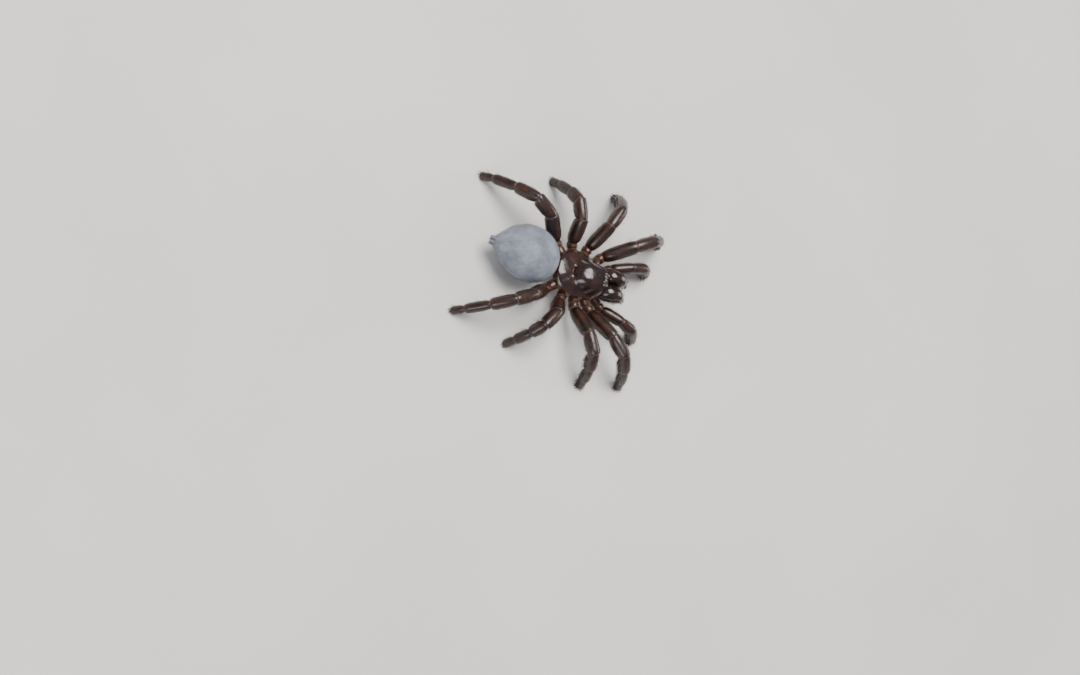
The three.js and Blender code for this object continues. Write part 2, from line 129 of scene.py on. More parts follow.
# Limbs, as lists from the body outwards. Turns, rises and curls are in degrees, and the one rise
# that is solved for brings the foot down to the floor.
LEG_WIDTHS = [1.02, 1.02, 1.38, 1.32, 1.2, 0.98, 0.78]
PALP_WIDTHS = [0.92, 0.9, 1.12, 1.12, 1.12, 0.92]
WAIST = 0.8
TIP = 0.62
TALLER = 1.12
LIMB_END = [(0.9, 0.04), (0.7, 0.075), (0.4, 0.095)]  # share of the ring before, and how far out
JOINT_RISE = {"bead": 0.012, "groove": 0.04}
STRIPE = {"off": 0.42, "wide": 0.15}  # the bare bands, as angles from the top of the limb
LIMB_COVER = [0.25, 0.4, 0.45, 0.6, 1.0, 1.4, 1.7]  # how close the hair is on each segment
FOOT_Z = 0.08
SOLVED = None
LIMB_KEYS = ("root", "coxa", "out", "curl", "spiny", "widths", "lengths", "rises")
LIMBS = {
    "palp": (
        (4.1, 1.6, 4.0), 38, 20, -4, (4, 5), PALP_WIDTHS,
        [3.2, 1.2, 4.6, 2.8, 3.0, 2.9], [-6, 8, SOLVED, -8, -50, -58],
    ),
    "leg_1": (
        (2.5, 2.1, 4.2), 56, 40, -3, (4, 5, 6), LEG_WIDTHS,
        [3.2, 1.3, 7.0, 4.2, 4.2, 3.8, 2.5], [-8, 12, SOLVED, 4, -42, -56, -62],
    ),
    "leg_2": (
        (0.8, 2.3, 4.2), 80, 68, -3, (4, 5, 6), LEG_WIDTHS,
        [2.9, 1.2, 6.3, 3.9, 3.8, 3.6, 2.4], [-8, 12, SOLVED, 2, -44, -57, -64],
    ),
    "leg_3": (
        (-1.0, 2.3, 4.2), 105, 114, 4, (), LEG_WIDTHS,
        [2.8, 1.2, 5.4, 3.6, 3.1, 3.7, 2.6], [-8, 12, SOLVED, 0, -46, -58, -64],
    ),
    "leg_4": (
        (-2.6, 1.8, 4.2), 134, 146, 4, (), LEG_WIDTHS,
        [3.3, 1.4, 7.0, 4.3, 4.8, 5.0, 2.8], [-8, 12, SOLVED, 4, -38, -46, -56],
    ),
}
LIMBS = {name: dict(zip(LIMB_KEYS, sizes)) for name, sizes in LIMBS.items()}
STEP = {
    1: {"palp": 2, "leg_1": -4, "leg_2": 3, "leg_3": -5, "leg_4": 3},
    -1: {"palp": -3, "leg_1": 5, "leg_2": -4, "leg_3": 4, "leg_4": -3},
}
SIDES = {"left": 1, "right": -1}
CLAW = {"length": 0.95, "radius": 0.15, "spread": 20, "z": 0.66, "hook": -0.62}
THIRD_CLAW = {"size": 0.55, "lower": 0.18}
SPINE = {"length": 0.95, "radius": 0.11, "lean": 0.55, "bend": 0.12, "tilts": (-0.45, 0.05, -0.85)}

# Single bristles of the head: a row along its middle, and a few on both sides of it.
MIDDLE_ROW = {"from": -0.6, "to": 3.4, "count": 11, "off": 0.05}
SIDE_BRISTLES = [
    (5.05, 0.25), (5.1, 0.7), (5.12, 1.3), (5.05, 1.9), (3.7, 1.2), (3.5, 0.35), (2.6, 1.9), (4.55, 1.5),
]

# How finely a surface is made: its rings, and the points round each.
MESH = {
    "egg": (30, 32), "trunk": (14, 96), "pedicel": (40, 32), "abdomen": (140, 112), "jaw": (60, 64),
    "fang": (60, 28),
}
SHELL_RINGS = 170
TOP_POINTS, RIM_POINTS, UNDER_POINTS = 151, 5, 21
SOFTENING = 24  # how often the shell's creases are averaged with what is beside them

# Unevenness of a surface, in layers: depth, size of the lumps, and seed.
UNEVEN = {
    "carapace": [(0.012, 0.55, 0.0), (0.02, 1.6, 7.0)],
    "labium": [(0.015, 0.4, 0.0)],
    "upper_lip": [(0.04, 0.6, 0.0)],
    "abdomen": [(0.07, 4.5, 11.0), (0.02, 1.1, 5.0), (0.006, 0.35, 2.0)],
    "jaw": [(0.015, 1.2, 4.0), (0.006, 0.35, 9.0)],
    "limb": [(0.014, 0.9, 3.0), (0.006, 0.3, 8.0)],
}

# The photograph: its size, its scale at the spider, and where and how the abdomen lies in it.
PHOTO = (1080, 675)
MM_PER_PIXEL = 0.188
ABDOMEN_PIXEL = (530.0, 253.4)
AXIS_FALL = 22.0  # degrees that the body's line falls towards the head, on the right
LOOK_DOWN = 57.0  # degrees that the camera looks down at the floor
LOOK_ASIDE = 30.0  # degrees that it stands to the spider's right of straight behind
LENS, SENSOR = 65.0, 36.0

# The studio, in metres and watts: each light's place, size, power and colour.
FLOOR_HALF = 3.0
SKY = {"Color": (0.86, 0.9, 1.0, 1), "Strength": 0.42}
LIGHTS = {
    "overhead": ((-0.12, 0.2, 0.7), 0.45, 8.5, (1.0, 0.98, 0.95)),
    "side": ((-0.35, -0.55, 0.35), 0.35, 2.0, (0.93, 0.96, 1.0)),
    "front": ((0.6, 0.25, 0.3), 0.3, 1.6, (1.0, 0.97, 0.93)),
}

# The frame's own place of the spider, from a node that is even about the body's axis.
low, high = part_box("sternum")
SHIFT = np.array([(low.x + high.x) / 2 - STERNUM["x"] * MM, (low.y + high.y) / 2, 0.0])


# Vectors and smooth steps.
def unit(v):
    v = np.asarray(v, float)
    return v / np.maximum(np.linalg.norm(v, axis=-1, keepdims=True), 1e-12)


def heading(turn, rise):
    turn, rise = math.radians(turn), math.radians(rise)
    return np.array([math.cos(rise) * math.cos(turn), math.cos(rise) * math.sin(turn), math.sin(rise)])


def ease(value, start, end):
    """0 before start, 1 after end, and smooth between them."""
    t = np.clip((np.asarray(value, float) - start) / (end - start), 0, 1)
    return t * t * (3 - 2 * t)


def dent(value, width):
    """1 at nothing, and close to 0 past two widths."""
    return np.exp(-((np.asarray(value) / width) ** 2))


def lumps(points, size, seed):
    """Smooth noise from about -1 to 1 at each point, with lumps of about that size."""
    flat = points.reshape(-1, 3) / size + seed
    return np.array([noise.noise(Vector(p)) for p in flat]).reshape(points.shape[:-1])


def uneven(points, kind):
    return sum(depth * lumps(points, size, seed) for depth, size, seed in UNEVEN[kind])


def turns(count, start=0.0):
    """The angles of points that stand evenly round a ring."""
    return 2 * math.pi * (np.arange(count) + start) / count


# A surface is an array of rings of points: rings, sides, 3.
def oval(at, along, width, height, sides, square=1.0):
    """One ring about a point. A square under 1 fills out the oval's corners."""
    across = unit(np.cross(UP, along))
    lift = unit(np.cross(along, across))
    c, s = np.cos(turns(sides, 0.5)), np.sin(turns(sides, 0.5))
    c, s = np.sign(c) * np.abs(c) ** square, np.sign(s) * np.abs(s) ** square
    return np.asarray(at) + np.outer(width * c, across) + np.outer(height * s, lift)


def normals_of(rings):
    """The outward direction at each point of a surface."""
    along = np.gradient(rings, axis=0)
    around = np.roll(rings, -1, axis=1) - np.roll(rings, 1, axis=1)
    normal = unit(np.cross(along, around))
    outward = rings - rings.mean(axis=1, keepdims=True)
    return normal * np.sign(np.sum(normal * outward))


def push(rings, amount):
    """The surface moved outwards by an amount at each point."""
    return rings + normals_of(rings) * amount[..., None]


def smooth_line(points, count):
    """Points and directions along a smooth curve through a few points."""
    p = np.asarray(points, float)
    p = np.concatenate([[2 * p[0] - p[1]], p, [2 * p[-1] - p[-2]]])
    places = np.linspace(0, len(points) - 1, count)
    i = np.minimum(places.astype(int), len(points) - 2)
    t = (places - i)[:, None]
    a, b, c, d = p[i], p[i + 1], p[i + 2], p[i + 3]
    line = 0.5 * (2 * b + (c - a) * t + (2 * a - 5 * b + 4 * c - d) * t**2 + (3 * b - a - 3 * c + d) * t**3)
    return line, unit(np.gradient(line, axis=0))


# Meshes.
def placed(name, data):
    thing = bpy.data.objects.new(name, data)
    bpy.context.scene.collection.objects.link(thing)
    return thing


def tube(rings):
    """Points and faces of the closed body that a surface bounds, with a fan on each end."""
    count, sides = rings.shape[:2]
    grid = np.arange(count * sides).reshape(count, sides)
    beside = np.roll(grid, -1, axis=1)
    quads = np.stack([grid[:-1], beside[:-1], beside[1:], grid[1:]], axis=-1).reshape(-1, 4)
    points = np.concatenate([rings.reshape(-1, 3), [rings[0].mean(axis=0), rings[-1].mean(axis=0)]])
    hub = count * sides
    faces = quads.tolist()
    faces += [(hub, beside[0, j], grid[0, j]) for j in range(sides)]
    faces += [(hub + 1, grid[-1, j], beside[-1, j]) for j in range(sides)]
    volume = np.einsum("ij,ij->", points[quads[:, 0]], np.cross(points[quads[:, 1]], points[quads[:, 2]]))
    if volume < 0:
        faces = [face[::-1] for face in faces]
    return points, faces


def join(bodies):
    """Several bodies of points and faces as one."""
    points, faces, start = [], [], 0
    for body_points, body_faces in bodies:
        points.append(body_points)
        faces += [tuple(int(k) + start for k in face) for face in body_faces]
        start += len(body_points)
    return np.concatenate(points), faces


def add_piece(name, body, material, nodes=(), values=None):
    """One piece of the spider. Values are numbers at each point that its material reads by name."""
    points, faces = body
    mesh = bpy.data.meshes.new(name)
    mesh.from_pydata((points * MM + SHIFT).tolist(), [], [tuple(int(k) for k in face) for face in faces])
    mesh.polygons.foreach_set("use_smooth", np.ones(len(faces), bool))
    mesh.materials.append(material)
    for key, value in (values or {}).items():
        full = np.concatenate([np.ravel(value), np.zeros(len(points) - np.size(value))])
        mesh.attributes.new(key, "FLOAT", "POINT").data.foreach_set("value", full.astype(np.float32))
    piece = placed(name, mesh)
    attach(piece, "root")
    if nodes:
        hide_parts(*nodes)
    return piece


# Hairs, bristles and spines.
def scatter(rings, count, rng, weight):
    """Random places on a surface: the point, the outward way, the way along, and its unwrapped place."""
    a, d = rings[:-1], rings[1:]
    b, c = np.roll(a, -1, axis=1), np.roll(d, -1, axis=1)
    area = np.linalg.norm(np.cross(c - a, b - d), axis=-1) * weight[:-1]
    cells = rng.choice(area.size, count, p=(area / area.sum()).ravel())
    i, j = np.unravel_index(cells, area.shape)
    s, t = rng.random((2, count, 1))
    root = (a[i, j] * (1 - s) + b[i, j] * s) * (1 - t) + (d[i, j] * (1 - s) + c[i, j] * s) * t
    out = normals_of(rings)[i, j]
    place = np.stack([(j + s[:, 0]) / rings.shape[1], (i + t[:, 0]) / (len(rings) - 1)], axis=-1)
    return root, out, unit(d[i, j] - a[i, j]), place


def strands(roots, ways, bends, lengths, radii, sides, places, taper):
    """Tapered, bent hairs: rings at the places along each, and one point at its tip."""
    count, stride = len(roots), sides * len(places) + 1
    helper = np.where(np.abs(ways[:, 2:]) > 0.9, AHEAD, UP)
    across = unit(np.cross(ways, helper))
    other = np.cross(ways, across)
    points = np.empty((count, stride, 3))
    points[:, -1] = roots + (ways + bends) * lengths[:, None]
    for k, t in enumerate(places):
        middle = roots + (ways * t + bends * t * t) * lengths[:, None]
        for j, turn in enumerate(turns(sides)):
            spoke = across * math.cos(turn) + other * math.sin(turn)
            points[:, k * sides + j] = middle + spoke * (radii * (1 - taper * t))[:, None]
    points[..., 2] = np.maximum(points[..., 2], LOWEST)
    one = [tuple(range(sides))[::-1]]
    for k in range(len(places) - 1):
        for j in range(sides):
            n = (j + 1) % sides
            one.append((k * sides + j, k * sides + n, (k + 1) * sides + n, (k + 1) * sides + j))
    last = (len(places) - 1) * sides
    one += [(last + j, last + (j + 1) % sides, stride - 1) for j in range(sides)]
    starts = range(0, count * stride, stride)
    faces = [tuple(s + k for k in face) for s in starts for face in one]
    return points.reshape(-1, 3), faces


# Kinds of hair. Lengths from and to, how far it stands up, how much it strays, bends and droops,
# and how deep its root is sunk.
HAIR_KEYS = ("length", "radius", "rise", "stray", "bend", "droop", "sunk")
HAIR = {
    "down": ((0.2, 0.46), 0.008, 0.22, 0.13, 0.35, 0.5, 0.02),
    "setae": ((0.5, 0.95), 0.012, 0.38, 0.14, 0.3, 0.6, 0.02),
    "spinneret": ((0.14, 0.36), 0.009, 0.3, 0.12, 0.3, 0.4, 0.02),
    "sternum": ((0.35, 0.9), 0.02, 0.55, 0.18, 0.25, 0.4, 0.03),
    "jaw": ((0.45, 1.05), 0.018, 0.42, 0.1, 0.25, 0.5, 0.03),
    "limb": ((0.25, 0.62), 0.012, 0.34, 0.12, 0.3, 0.3, 0.02),
    "bristle": ((0.7, 1.3), 0.019, 0.6, 0.12, 0.3, 0.4, 0.03),
    "cuspule": ((0.09, 0.13), 0.034, 1.0, 0.05, 0.0, 0.0, 0.01),
}
HAIR = {kind: dict(zip(HAIR_KEYS, sizes)) for kind, sizes in HAIR.items()}
LONG_HAIR = 1.1  # a kind that grows longer than this is bent in three places, not two
LOWEST = 0.01  # no hair dips below this height
BAKE_PATCH = 0.003

# Each coat: its kind of hair, how many there are, and the seed of their random places.
COATS = {
    "coat_abdomen": ("down", 19000, 11),
    "setae_abdomen": ("setae", 1400, 12),
    "bristles_sternum": ("sternum", 420, 31),
    "bristles_lip": ("limb", 110, 32),
    "coat_spinneret": ("spinneret", 420, 40),
    "bristles_jaw": ("jaw", 560, 50),
    "cuspules": ("cuspule", 60, 70),
    "hair": ("limb", 1700, 100),
    "bristles": ("bristle", 140, 600),
}
RAKE_SEED = 60
HEAD_SEED = 21
SPINE_SEED = 1000


def unwrap(mesh, places, stride):
    """Each hair as a small patch at its root's place on the skin's unwrap."""
    turn = turns(stride)
    patch = np.stack([np.cos(turn), np.sin(turn)], axis=-1) * BAKE_PATCH / 2
    inside = np.clip(places, BAKE_PATCH, 1 - BAKE_PATCH)
    at = (inside[:, None, :] + patch[None]).reshape(-1, 2)
    corner = np.empty(len(mesh.loops), np.int32)
    mesh.loops.foreach_get("vertex_index", corner)
    mesh.uv_layers.new(name="OFBake").data.foreach_set("uv", at[corner].astype(np.float32).ravel())


def add_fur(coat, rings, material, weight, word="", seed=0):
    """Hairs all over a surface, lying along it. The word ends the piece's name."""
    kind, count, first_seed = COATS[coat]
    look = HAIR[kind]
    rng = np.random.default_rng(first_seed + seed)
    root, out, lie, place = scatter(rings, count, rng, weight)
    stray = rng.normal(size=(count, 3)) * look["stray"]
    way = unit(lie * (1 - look["rise"]) + out * look["rise"] + stray)
    bend = (lie - out * look["droop"]) * look["bend"]
    length = rng.uniform(*look["length"], count)
    radius = look["radius"] * rng.uniform(0.75, 1.25, count)
    places = (0.0, 0.5) if look["length"][1] < LONG_HAIR else (0.0, 0.35, 0.7)
    body = strands(root - out * look["sunk"], way, bend, length, radius, 3, places, 0.6)
    piece = add_piece(f"{coat}_{word}" if word else coat, body, material)
    unwrap(piece.data, place, 3 * len(places) + 1)


def add_spikes(name, spikes, material, sides, places, taper):
    """One piece of spikes, each a root, a way, a bend, a length and a radius."""
    arrays = [np.array(v, float) for v in zip(*spikes)]
    add_piece(name, strands(*arrays, sides, places, taper), material)


# Materials.
def srgb(text):
    """A colour written as six hex digits, as the shader's linear numbers."""
    parts = [int(text[i : i + 2], 16) / 255 for i in (0, 2, 4)]
    return (*[((c + 0.055) / 1.055) ** 2.4 if c > 0.04045 else c / 12.92 for c in parts], 1.0)


class Finish:
    """A material made of nodes. Each method adds nodes and gives back their output."""

    def __init__(self, name, **constants):
        self.material = bpy.data.materials.new(name)
        self.material.use_nodes = True
        self.tree = self.material.node_tree
        self.shader = self.tree.nodes["Principled BSDF"]
        self.place = self.add("TexCoord").outputs["Object"]
        for key, value in constants.items():
            self.shader.inputs[key.replace("_", " ").title().replace("Ior", "IOR")].default_value = value

    def add(self, kind, inputs=None, **settings):
        made = self.tree.nodes.new("ShaderNode" + kind)
        for key, value in settings.items():
            setattr(made, key, value)
        for key, value in (inputs or {}).items():
            self.put(made.inputs[key], value)
        return made

    def put(self, socket, value):
        if isinstance(value, bpy.types.NodeSocket):
            self.tree.links.new(value, socket)
        else:
            socket.default_value = value

    def noise(self, size, detail=3.0, stretch=(1, 1, 1)):
        """Clouds from 0 to 1, about that many millimetres across."""
        place = self.add("Mapping", {"Vector": self.place, "Scale": stretch}).outputs["Vector"]
        inputs = {"Vector": place, "Scale": 1 / (size * MM), "Detail": detail}
        return self.add("TexNoise", inputs).outputs[0]

    def cells(self, size):
        """Distance from the middle of cells about that many millimetres across."""
        return self.add("TexVoronoi", {"Vector": self.place, "Scale": 1 / (size * MM)}).outputs["Distance"]

    def value(self, name):
        """A number that the piece carries at each of its points."""
        return self.add("Attribute", attribute_name=name).outputs["Fac"]

    def span(self, value, start, end, low=0.0, high=1.0):
        """The value from start to end, as low to high."""
        inputs = {"Value": value, "From Min": start, "From Max": end, "To Min": low, "To Max": high}
        return self.add("MapRange", inputs, interpolation_type="SMOOTHSTEP").outputs["Result"]

    def math(self, kind, a, b):
        return self.add("Math", {0: a, 1: b}, operation=kind).outputs[0]

    def cloudy(self, size, low, high, detail=3.0):
        """A number that wanders from low to high over clouds of that size."""
        return self.span(self.noise(size, detail), 0.3, 0.7, low, high)

    def blend(self, share, a, b):
        """Colour a where the share is 0, and b where it is 1."""
        made = self.add("Mix", data_type="RGBA")
        self.put(made.inputs[0], share)
        self.put(made.inputs[6], a)
        self.put(made.inputs[7], b)
        return made.outputs[2]

    def relief(self, *layers):
        """Bumps, each a height from 0 to 1 and its depth in millimetres."""
        normal = None
        for height, depth in layers:
            inputs = {"Height": height, "Distance": depth * MM, "Strength": 1.0}
            if normal:
                inputs["Normal"] = normal
            normal = self.add("Bump", inputs).outputs["Normal"]
        self.put(self.shader.inputs["Normal"], normal)

    def done(self, colour, roughness):
        self.put(self.shader.inputs["Base Color"], colour)
        self.put(self.shader.inputs["Roughness"], roughness)
        return self.material


def shell_finish(name, dark, light, under, soft, gloss, coat):
    """Polished shell, lighter in broad patches and below, with dull skin where it is soft."""
    made = Finish(name, coat_roughness=0.1, ior=1.52)
    patches = made.span(made.noise(1.9, 5), 0.38, 0.72)
    colour = made.blend(patches, srgb(dark), srgb(light))
    colour = made.blend(made.value("pale"), colour, srgb(under))
    membrane = made.value("soft")
    colour = made.blend(membrane, colour, srgb(soft))
    roughness = made.span(made.noise(0.6, 3), 0.3, 0.75, gloss, gloss + 0.12)
    roughness = made.math("ADD", roughness, made.math("MULTIPLY", membrane, 0.4))
    made.put(made.shader.inputs["Coat Weight"], made.span(membrane, 0.0, 0.5, coat, 0.0))
    made.relief((made.noise(0.22, 3), 0.0035), (made.cells(0.06), 0.0014))
    return made.done(colour, roughness)


def skin_finish():
    """Dull, faintly mottled grey skin with very fine wrinkles, its real pale grey partly darkened and
    tinted blue as painted shade.
    """
    made = Finish("abdomen_skin", sheen_weight=0.2, sheen_roughness=0.5, ior=1.4)
    clouds = made.span(made.noise(2.6, 5), 0.3, 0.72)
    # Real pale grey, darkened and tinted blue as painted shade of sky-lit shadow; the mottling and flecks
    # are the skin's own.
    colour = made.blend(clouds, srgb("70747f"), srgb("8b909c"))
    flecks = made.span(made.noise(0.22, 2), 0.62, 0.74, 0, 0.35)
    colour = made.blend(flecks, colour, srgb("62656f"))
    made.relief((made.noise(0.3, 5, (1, 0.45, 0.45)), 0.05), (made.cells(0.09), 0.01))
    return made.done(colour, made.cloudy(0.6, 0.62, 0.8))


def hair_finish(name, dark, light, roughness):
    """Hair whose colour varies from one to the next."""
    made = Finish(name, specular_ior_level=0.35)
    colour = made.blend(made.cloudy(0.5, 0.0, 1.0, 2), srgb(dark), srgb(light))
    return made.done(colour, made.cloudy(0.3, roughness, roughness + 0.15, 1))


def horn_finish():
    """Near-black polished horn with a red-brown cast in places."""
    made = Finish("horn", coat_weight=0.2, coat_roughness=0.08, ior=1.5)
    colour = made.blend(made.span(made.noise(0.6, 2), 0.45, 0.8), srgb("0d0807"), srgb("32150d"))
    made.relief((made.noise(0.12, 3), 0.006))
    return made.done(colour, made.cloudy(0.3, 0.22, 0.36))


def eye_finish(name, dark, light):
    """A clear lens over a dark or pearly eye."""
    made = Finish(name, coat_weight=1.0, coat_roughness=0.02, ior=1.5)
    colour = made.blend(made.span(made.noise(0.35, 1), 0.3, 0.75), srgb(dark), srgb(light))
    return made.done(colour, made.cloudy(0.2, 0.06, 0.12))


def floor_finish():
    """Pale, matt studio floor."""
    made = Finish("floor", ior=1.45)
    colour = made.blend(made.cloudy(60, 0.0, 1.0), srgb("d6d3ce"), srgb("dcd9d4"))
    made.relief((made.noise(0.8, 4), 0.01))
    return made.done(colour, made.cloudy(20, 0.6, 0.7))


SHELL = shell_finish("carapace_shell", "1b0e09", "35180f", "4a2817", "6b5347", 0.17, 0.3)
LIMB_SHELL = shell_finish("limb_shell", "1d100b", "351a11", "56301f", "6a4f42", 0.27, 0.14)
UNDER_SHELL = shell_finish("underside_shell", "4f2c1b", "6d4128", "7b5136", "8a6f60", 0.34, 0.08)
SKIN = skin_finish()
HORN = horn_finish()
EYE_DARK = eye_finish("eye_dark", "050506", "15110f")
EYE_PEARL = eye_finish("eye_pearl", "54493a", "6d6150")
# Real pale grey hair, darkened and tinted blue as painted shade of sky-lit shadow, like the abdomen's skin.
PALE_HAIR = hair_finish("pale_hair", "777a84", "9b9ea8", 0.55)
BROWN_HAIR = hair_finish("brown_hair", "22140f", "4c3022", 0.35)
SOOTY_HAIR = hair_finish("sooty_hair", "4b4547", "6e686a", 0.5)


# Carapace.
def carapace_half(x):
    """Half the shell's width at a place along it."""
    behind = np.clip((WIDEST_X - x) / (WIDEST_X - CARAPACE_BACK), 0, 1)
    before = np.clip((x - WIDEST_X) / (CARAPACE_FRONT - WIDEST_X), 0, 1)
    back = BACK_HALF + (CARAPACE_HALF - BACK_HALF) * (1 - behind**2.4) ** 0.75
    front = CARAPACE_HALF + (CLYPEUS_HALF - CARAPACE_HALF) * before**1.8 - FRONT_CORNER * before**14
    return np.where(x < WIDEST_X, back, front)


def thorax_and_head(x, y):
    """Heights of the two domes that the shell is made of."""
    across = np.clip(np.abs(y) / carapace_half(x), 0, 1)
    fall = np.clip(np.abs(x - WIDEST_X) / THORAX_REACH, 0, 1)
    thorax = THORAX_RISE * np.sqrt(1 - across**2.6) * np.sqrt(1 - fall**3)
    u, v = np.abs(x - CAPUT["x"]) / CAPUT["length"], np.abs(y) / CAPUT["half"]
    return thorax, CAPUT["rise"] * np.sqrt(np.maximum(0, 1 - u**2.3 - v**3))


def carapace_rise(x, y):
    """Height above the rim, without the fine relief."""
    thorax, head = thorax_and_head(x, y)
    meet = np.maximum(CREASE - np.abs(thorax - head), 0) / CREASE
    return np.maximum(thorax, head) + meet * meet * CREASE / 8


def furrows(x, y):
    """Depth of the shallow furrows that run out over the thorax from its pit."""
    thorax, head = thorax_and_head(x, y)
    bare = ease(thorax - head, -0.05, 0.25)
    dx, dy = x - FOVEA["x"], np.abs(y)
    depth = 0
    for turn in FURROWS["turns"]:
        c, s = math.cos(math.radians(turn)), math.sin(math.radians(turn))
        along, off = dx * c + dy * s, dy * c - dx * s
        run = ease(along, *FURROWS["starts"]) * (1 - ease(along, *FURROWS["ends"]))
        depth = depth + FURROWS["deep"] * dent(off, FURROWS["wide"]) * run * bare
    return depth


def carapace_relief(x, y):
    """The pit, and the mound of the eyes."""
    bow = FOVEA["x"] - FOVEA["bend"] * (1 - (y / FOVEA["half"]) ** 2)
    within = np.clip(1 - (np.abs(y) / FOVEA["half"]) ** 4, 0, 1)
    mound = MOUND["rise"] * dent((x - MOUND["x"]) / MOUND["length"], 1) * dent(y / MOUND["half"], 1)
    return mound - FOVEA["deep"] * dent(x - bow, FOVEA["wide"]) * within


def head_height(x, y):
    """Height of the shell's surface at one place."""
    x, y = np.array(x), np.array(y)
    return MARGIN_Z + float(carapace_rise(x, y) + carapace_relief(x, y))


def blurred(grid):
    """A grid of heights with its sharp creases softened, but not at its edges."""
    grid = grid.copy()
    for _ in range(SOFTENING):
        grid[1:-1] = (grid[:-2] + 2 * grid[1:-1] + grid[2:]) / 4
        grid[:, 1:-1] = (grid[:, :-2] + 2 * grid[:, 1:-1] + grid[:, 2:]) / 4
    return grid


def rim_and_underside(x, half, inset):
    """The rest of one section of the shell: round the rim, back under it, and round the other rim."""
    corner = RIM_THICK / 2
    turn = np.radians(np.linspace(60, -60, RIM_POINTS))
    depth = MARGIN_Z - corner + (corner - inset) * np.sin(turn)
    rim = np.stack([np.full(RIM_POINTS, x), half + RIM_OUT * np.cos(turn), depth], -1)
    y = np.linspace(0.94, -0.94, UNDER_POINTS) * half
    arch = UNDER_ARCH * (1 - (y / half) ** 4)
    under = np.stack([np.full(UNDER_POINTS, x), y, MARGIN_Z - RIM_THICK + inset + arch], -1)
    return np.concatenate([rim, under, rim[::-1] * [1, -1, 1]])


def carapace_rings():
    """The shell from back to front, its ends rounded over, with a bead along its rim."""
    corner = RIM_THICK / 2
    turn = np.radians([90, 70, 50, 30, 12])
    inset = corner * (1 - np.cos(turn))
    middle = np.linspace(CARAPACE_BACK + corner, CARAPACE_FRONT - corner, SHELL_RINGS)
    back = CARAPACE_BACK + corner - corner * np.sin(turn)
    front = CARAPACE_FRONT - corner + corner * np.sin(turn[::-1])
    x = np.concatenate([back, middle, front])
    inset = np.concatenate([inset, 0 * middle, inset[::-1]])
    half = carapace_half(x) - inset
    y = np.sin(np.linspace(-1, 1, TOP_POINTS) * math.pi / 2) * half[:, None]
    along = np.broadcast_to(x[:, None], y.shape)
    height = blurred(carapace_rise(along, y) - furrows(along, y)) + carapace_relief(along, y)
    bead = BEAD["rise"] * dent(np.abs(y) / half[:, None] - BEAD["at"], BEAD["wide"])
    top = np.stack([along, y, MARGIN_Z - inset[:, None] + np.maximum(height + bead, 0)], -1)
    rest = np.array([rim_and_underside(*section) for section in zip(x, half, inset)])
    rings = np.concatenate([top, rest], axis=1)
    return push(rings, uneven(rings, "carapace"))


def trunk_rings():
    """The soft flanks between the shell and the legs, in shallow upright folds."""
    rings = []
    count, sides = MESH["trunk"]
    turn = turns(sides)
    for z in np.linspace(TRUNK["bottom"] - 0.25, MARGIN_Z + 0.4, count):
        fold = 1 + TRUNK["fold"] * np.sin(turn * TRUNK["folds"])
        fold = fold + TRUNK["bulge"] * math.sin((z - TRUNK["bottom"]) * 4)
        x = TRUNK["x"] + TRUNK["length"] * fold * np.cos(turn)
        y = TRUNK["half"] * fold * np.sin(turn)
        rings.append(np.stack([x, y, np.full_like(x, z)], -1))
    return np.array(rings)


def make_carapace():
    rings = carapace_rings()
    edge = np.zeros(rings.shape[:2])
    edge[:, TOP_POINTS:] = 0.6
    near_rim = ease(np.abs(rings[..., 1]) / carapace_half(rings[..., 0]), 0.75, 1.0) * 0.35
    pale = {"pale": np.maximum(edge, near_rim)}
    add_piece("shell_carapace", tube(rings), SHELL, ["carapace"], pale)
    flanks = trunk_rings()
    soft = {"soft": np.full(flanks.shape[:2], 0.8)}
    add_piece("flanks", tube(flanks), UNDER_SHELL, ["carapace"], soft)


def egg_rings(centre, reach, half, tall):
    """An egg about a point, running back along the body's axis."""
    rings = []
    count, sides = MESH["egg"]
    for a in np.linspace(0.03, math.pi - 0.03, count):
        at = (centre[0] + reach * math.cos(a), centre[1], centre[2])
        rings.append(oval(at, -AHEAD, half * math.sin(a), tall * math.sin(a), sides))
    return np.array(rings)


def make_eyes():
    sockets = []
    for word, side in SIDES.items():
        for row, (x, y, radius) in EYES.items():
            z = MARGIN_Z + float(carapace_rise(np.array(x), np.array(y)))
            centre = (x, side * y, z + EYE_OUT * radius + EYE_LIFT)
            lens = EYE_DARK if row == "front_middle" else EYE_PEARL
            name = f"{row}_{word}"
            ball = tube(egg_rings(centre, radius, radius, radius))
            add_piece("lens_" + name, ball, lens, ["eye_" + name])
            sockets.append(tube(socket_rings(centre, radius)))
    add_piece("eye_rims", join(sockets), HORN)


def socket_rings(centre, radius):
    """A dark ring of shell round an eye, leaning as the head does there."""
    x, y, _ = centre
    step = 0.15
    slope_x = (head_height(x + step, y) - head_height(x - step, y)) / (2 * step)
    slope_y = (head_height(x, y + step) - head_height(x, y - step)) / (2 * step)
    out = unit([-slope_x, -slope_y, 1.0])
    across = unit(np.cross(out, AHEAD))
    turn = turns(24)
    spokes = np.outer(np.cos(turn), across) + np.outer(np.sin(turn), np.cross(out, across))
    middle = np.array(centre) - out * 0.03
    return np.array([middle + out * rise * radius + spokes * radius * share for rise, share in EYE_RIM])


